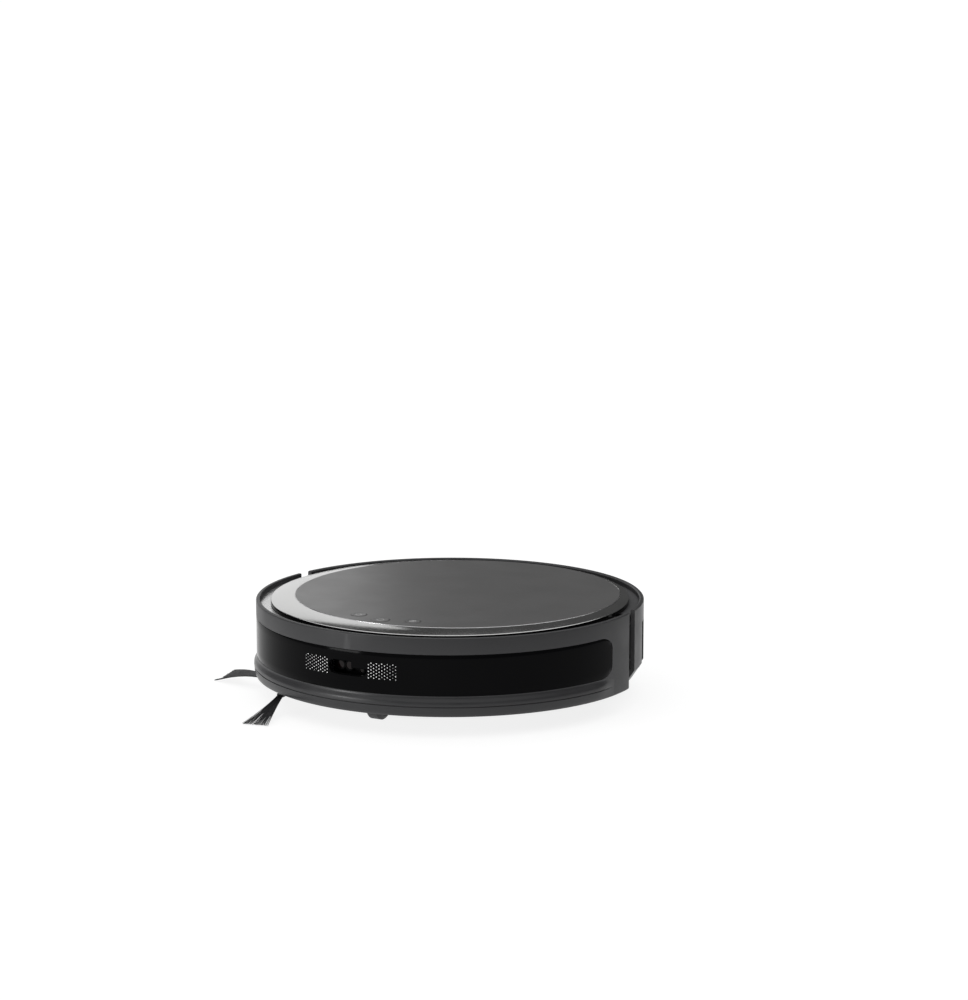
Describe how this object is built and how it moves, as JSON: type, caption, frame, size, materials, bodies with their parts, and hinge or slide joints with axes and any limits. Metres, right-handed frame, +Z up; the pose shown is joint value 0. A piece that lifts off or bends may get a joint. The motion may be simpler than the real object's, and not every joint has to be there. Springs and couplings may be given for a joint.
{
  "type": "robot vacuum",
  "caption": "Low round robot vacuum with a sliding front bumper, black sensor window, top buttons, side brush, main brush, sprung wheels and a rear dust drawer.",
  "frame": {"origin": "on the floor, under the vertical axis of the round body, between the two tyres and the caster the machine stands on", "axes": "+Z up; -Y is the front, the way it drives; the machine's own right, with the side brush, is -X"},
  "size_m": [0.3639, 0.3598, 0.0849],
  "materials": {
    "charcoal_plastic": "satin",
    "panel_plastic": "satin",
    "silver_plastic": "satin",
    "gloss_black": "gloss",
    "black_plastic": "matte",
    "bright_ring": "polished",
    "steel": "brushed",
    "contact_brass": "polished",
    "circuit_board": "satin",
    "battery_wrap": "satin",
    "smoke_plastic": "translucent",
    "filter_paper": "matte",
    "soft_rubber": "matte",
    "tread_rubber": "matte",
    "red_rubber": "matte",
    "bristle_nylon": "matte",
    "lens_glass": "polished",
    "grey_plastic": "satin"
  },
  "bodies": {
    "robot": {"chassis": "black_plastic", "chassis_screws": "steel", "deck_frame": "silver_plastic", "deck_posts": "steel", "top_cover": "silver_plastic", "top_panel": "panel_plastic", "panel_ring": "bright_ring", "rear_shell": "charcoal_plastic", "vent_grilles": "black_plastic", "sensor_pod": "black_plastic", "sensor_lenses": "lens_glass", "main_board": "circuit_board", "battery_pack": "battery_wrap", "battery_door": "black_plastic", "brush_housing": "black_plastic", "brush_guard": "grey_plastic", "brush_gearbox": "black_plastic", "brush_motor": "steel", "intake_duct": "black_plastic", "side_brush_gearbox": "black_plastic", "fan_housing": "black_plastic", "fan_motor": "steel", "speaker": "black_plastic", "wheel_pods": "black_plastic", "arm_springs": "steel", "caster_housing": "black_plastic", "cliff_sensors": "lens_glass", "charge_contacts": "contact_brass", "bumper_switches": "black_plastic", "bumper_springs": "steel"},
    "bumper": {"bumper_shell": "charcoal_plastic", "bumper_window": "gloss_black", "bumper_lip": "charcoal_plastic"},
    "main_brush": {"brush_core": "black_plastic", "brush_strips": "red_rubber", "brush_bearings": "steel"},
    "side_brush": {"side_brush_hub": "soft_rubber", "side_brush_bristles": "bristle_nylon", "side_brush_screw": "steel"},
    "wheel_arm_left": {"arm_left": "grey_plastic"},
    "wheel_arm_right": {"arm_right": "grey_plastic"},
    "wheel_left": {"hub_left": "grey_plastic", "tyre_left": "tread_rubber"},
    "wheel_right": {"hub_right": "grey_plastic", "tyre_right": "tread_rubber"},
    "caster_swivel": {"caster_fork": "grey_plastic", "caster_axle": "steel"},
    "caster_roller": {"caster_wheel": "black_plastic"},
    "dust_drawer": {"bin_body": "smoke_plastic", "bin_face": "charcoal_plastic", "bin_lid": "smoke_plastic", "filter_frame": "black_plastic", "filter_pleats": "filter_paper"},
    "evac_flap_body": {"evac_flap": "soft_rubber"},
    "inlet_flap_body": {"inlet_flap": "soft_rubber"},
    "drawer_release": {"release_button": "black_plastic"},
    "left_button": {"button_left": "panel_plastic"},
    "middle_button": {"button_middle": "panel_plastic"},
    "right_button": {"button_right": "panel_plastic"},
    "fan_impeller": {"impeller": "grey_plastic"}
  },
  "joints": [
    {"name": "bumper_slide", "type": "slide", "parent": "robot", "child": "bumper", "axis": [0, 1, 0], "range_m": [0, 0.004], "stiffness_N_per_m": 400, "springref_m": -0.004, "deforming": ["bumper_springs"]},
    {"name": "main_brush_spin", "type": "hinge", "parent": "robot", "child": "main_brush", "pos_m": [0, -0.044, 0.0205], "axis": [1, 0, 0], "continuous": true},
    {"name": "side_brush_spin", "type": "hinge", "parent": "robot", "child": "side_brush", "pos_m": [-0.098, -0.094, 0.015], "axis": [0, 0, 1], "continuous": true, "deforming": ["side_brush_bristles"]},
    {"name": "left_arm_drop", "type": "hinge", "parent": "robot", "child": "wheel_arm_left", "pos_m": [0.0855, -0.016, 0.046], "axis": [-1, 0, 0], "range_deg": [0, 26], "stiffness_Nm_per_rad": 0.26, "springref_deg": 60.16},
    {"name": "right_arm_drop", "type": "hinge", "parent": "robot", "child": "wheel_arm_right", "pos_m": [-0.0855, -0.016, 0.046], "axis": [-1, 0, 0], "range_deg": [0, 26], "stiffness_Nm_per_rad": 0.26, "springref_deg": 60.16},
    {"name": "left_wheel_spin", "type": "hinge", "parent": "wheel_arm_left", "child": "wheel_left", "pos_m": [0.109, 0.016, 0.033], "axis": [1, 0, 0], "continuous": true},
    {"name": "right_wheel_spin", "type": "hinge", "parent": "wheel_arm_right", "child": "wheel_right", "pos_m": [-0.109, 0.016, 0.033], "axis": [1, 0, 0], "continuous": true},
    {"name": "caster_turn", "type": "hinge", "parent": "robot", "child": "caster_swivel", "pos_m": [0, -0.122, 0.036], "axis": [0, 0, 1], "continuous": true},
    {"name": "caster_roll", "type": "hinge", "parent": "caster_swivel", "child": "caster_roller", "pos_m": [0, -0.118, 0.0135], "axis": [1, 0, 0], "continuous": true},
    {"name": "drawer_slide", "type": "slide", "parent": "robot", "child": "dust_drawer", "axis": [0, 1, 0], "range_m": [0, 0.13]},
    {"name": "evac_flap_swing", "type": "hinge", "parent": "dust_drawer", "child": "evac_flap_body", "pos_m": [0, 0.1392, 0.058], "axis": [-1, 0, 0], "range_deg": [0, 50], "stiffness_Nm_per_rad": 0.004, "springref_deg": -17.19},
    {"name": "inlet_flap_swing", "type": "hinge", "parent": "dust_drawer", "child": "inlet_flap_body", "pos_m": [0, 0.0288, 0.042], "axis": [1, 0, 0], "range_deg": [0, 50], "stiffness_Nm_per_rad": 0.004, "springref_deg": -17.19},
    {"name": "release_press", "type": "slide", "parent": "dust_drawer", "child": "drawer_release", "axis": [0, -1, 0], "range_m": [0, 0.002], "stiffness_N_per_m": 300, "springref_m": -0.002},
    {"name": "left_button_press", "type": "slide", "parent": "robot", "child": "left_button", "axis": [0, 0, -1], "range_m": [0, 0.0006], "stiffness_N_per_m": 400, "springref_m": -0.0008},
    {"name": "middle_button_press", "type": "slide", "parent": "robot", "child": "middle_button", "axis": [0, 0, -1], "range_m": [0, 0.0006], "stiffness_N_per_m": 400, "springref_m": -0.0008},
    {"name": "right_button_press", "type": "slide", "parent": "robot", "child": "right_button", "axis": [0, 0, -1], "range_m": [0, 0.0006], "stiffness_N_per_m": 400, "springref_m": -0.0008},
    {"name": "impeller_spin", "type": "hinge", "parent": "robot", "child": "fan_impeller", "pos_m": [0.083, 0.08, 0.043], "axis": [1, 0, 0], "continuous": true}
  ]
}
